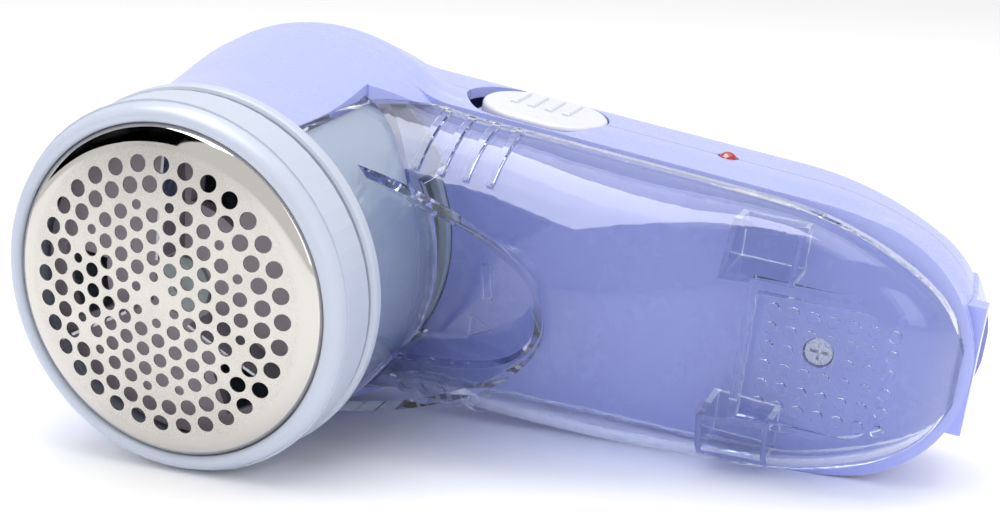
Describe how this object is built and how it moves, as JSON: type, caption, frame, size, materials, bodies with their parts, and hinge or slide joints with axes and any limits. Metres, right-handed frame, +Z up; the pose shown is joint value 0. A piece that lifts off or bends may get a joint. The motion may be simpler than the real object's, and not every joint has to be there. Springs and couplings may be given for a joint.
{
  "type": "fabric shaver",
  "caption": "Hand-held fabric shaver with round perforated foil head, tapered handle, side slide switch, charging inlet and clear slide-off lint bin.",
  "frame": {"origin": "tip of the foil on the head axis", "axes": "+X from the head towards the end of the handle, +Y from the foil to the back, +Z up with the shaver lying on the side away from the switch; the handle drops 6.8 degrees and the head rolls 4.5 degrees, so the shaver rests on ring, head and handle"},
  "size_m": [0.167, 0.0844, 0.0748],
  "materials": {
    "lilac_shell": "gloss moulded",
    "pale_plastic": "satin moulded",
    "clear_plastic": "clear polished plastic",
    "foil_steel": "polished rim, satin face",
    "blade_steel": "ground",
    "grey_plastic": "moulded",
    "white_plastic": "satin moulded",
    "black_plastic": "moulded",
    "zinc_steel": "zinc plated",
    "ferrite": "sintered",
    "copper": "enamelled wire",
    "bronze": "sintered",
    "tinned": "tinned",
    "carbon": "pressed carbon",
    "felt": "felt",
    "board_green": "solder mask",
    "red_lens": "clear red",
    "cell_sleeve": "shrink sleeve",
    "spring_steel": "drawn wire",
    "wire_sleeve": "extruded",
    "capacitor_case": "dipped"
  },
  "bodies": {
    "body": {"front_housing": "lilac_shell", "back_housing": "lilac_shell", "housing_screws": "zinc_steel", "head_collar": "pale_plastic", "head_chamber": "grey_plastic", "motor_plate": "zinc_steel", "motor_screws": "zinc_steel", "shaft_seal": "felt", "motor_can": "zinc_steel", "motor_end_cap": "white_plastic", "motor_bushes": "bronze", "motor_magnets": "ferrite", "motor_brushes": "carbon", "motor_terminals": "tinned", "circuit_board": "board_green", "board_diodes": "black_plastic", "board_resistors": "capacitor_case", "dropper_capacitor": "capacitor_case", "charge_led": "red_lens", "led_leads": "tinned", "battery_cell_1": "cell_sleeve", "battery_cell_2": "cell_sleeve", "battery_straps": "tinned", "inlet_bezel": "lilac_shell", "inlet_housing": "black_plastic", "inlet_pins": "tinned", "switch_body": "black_plastic", "switch_terminals": "tinned", "leads": "wire_sleeve"},
    "rotor": {"motor_shaft": "zinc_steel", "armature_core": "blade_steel", "armature_windings": "copper", "commutator": "copper", "drive_hub": "white_plastic", "hub_cap": "grey_plastic", "fan_impeller": "grey_plastic", "blade_spring": "spring_steel"},
    "cutter": {"blade_carrier": "grey_plastic", "cutting_blades": "blade_steel"},
    "foil": {"foil": "foil_steel"},
    "ring": {"foil_ring": "pale_plastic"},
    "switch": {"switch_button": "white_plastic", "switch_slider": "white_plastic"},
    "bin": {"lint_bin": "clear_plastic"}
  },
  "joints": [
    {"name": "rotor_spin", "type": "hinge", "parent": "body", "child": "rotor", "pos_m": [0, 0, 0], "axis": [0, 0.9969, 0.0785], "continuous": true},
    {"name": "cutter_float", "type": "slide", "parent": "rotor", "child": "cutter", "axis": [0, 0.9969, 0.0785], "range_m": [0, 0.0008], "stiffness_N_per_m": 600, "springref_m": -0.001, "deforming": ["blade_spring"]},
    {"name": "foil_lift", "type": "slide", "parent": "body", "child": "foil", "axis": [0, -0.9969, -0.0785], "range_m": [0, 0.004]},
    {"name": "ring_turn", "type": "hinge", "parent": "foil", "child": "ring", "pos_m": [0, 0, 0], "axis": [0, -0.9969, -0.0785], "range_deg": [0, 100]},
    {"name": "switch_slide", "type": "slide", "parent": "body", "child": "switch", "axis": [-0.9863, -0.0129, 0.1645], "range_m": [0, 0.0032]},
    {"name": "bin_slide", "type": "slide", "parent": "body", "child": "bin", "axis": [0.993, 0.0093, -0.118], "range_m": [0, 0.13]}
  ],
  "couplings": [
    {"joint": "foil_lift", "follows": "ring_turn", "m_per_rad": 0.00229}
  ]
}
